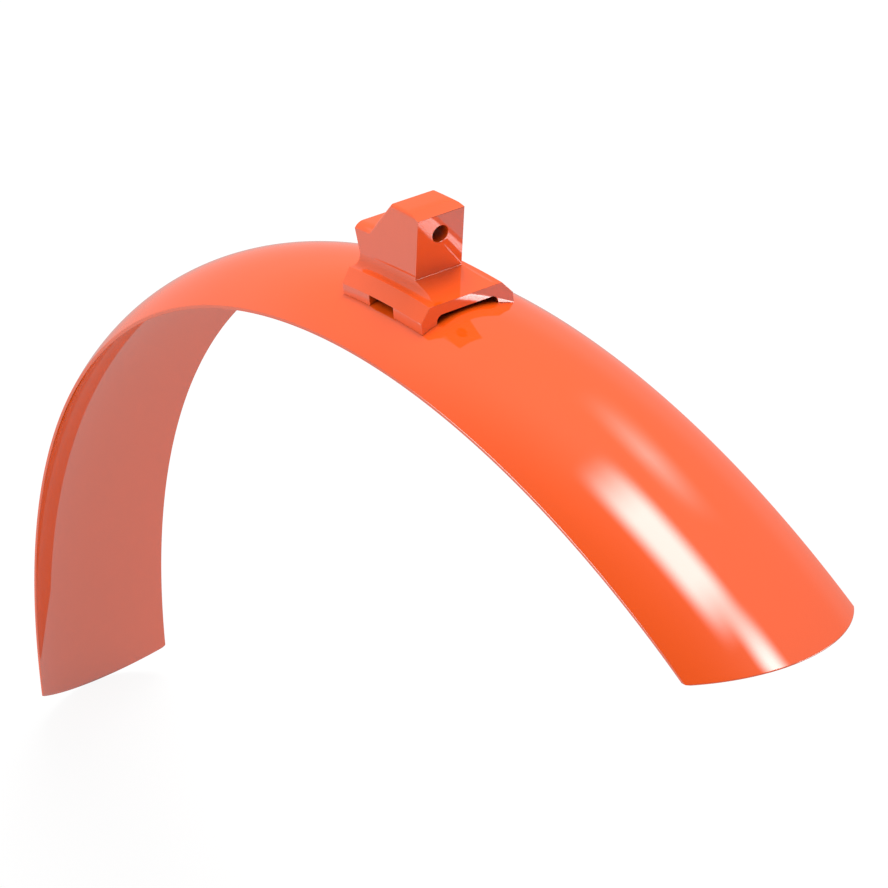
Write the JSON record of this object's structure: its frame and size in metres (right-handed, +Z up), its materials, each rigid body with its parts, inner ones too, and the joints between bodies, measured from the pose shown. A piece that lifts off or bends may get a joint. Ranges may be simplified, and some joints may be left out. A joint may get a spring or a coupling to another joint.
{
  "type": "mudguard with holder",
  "caption": "Arched wheel mudguard with a crowned section and a moulded holder block that a bolt fixes to the fork.",
  "frame": {"origin": "centre of the bolt bore's mouth, on the flat front face of the holder's tower", "axes": "+X along the bolt bore, out of the front face and towards the front end; +Y across the wheel; +Z up"},
  "size_m": [0.3761, 0.0544, 0.3315],
  "materials": {
    "orange_plastic": "gloss",
    "screw_steel": "satin"
  },
  "bodies": {
    "root": {"guard_blade": "orange_plastic", "holder": "orange_plastic", "fixing_screws": "screw_steel"}
  },
  "joints": []
}
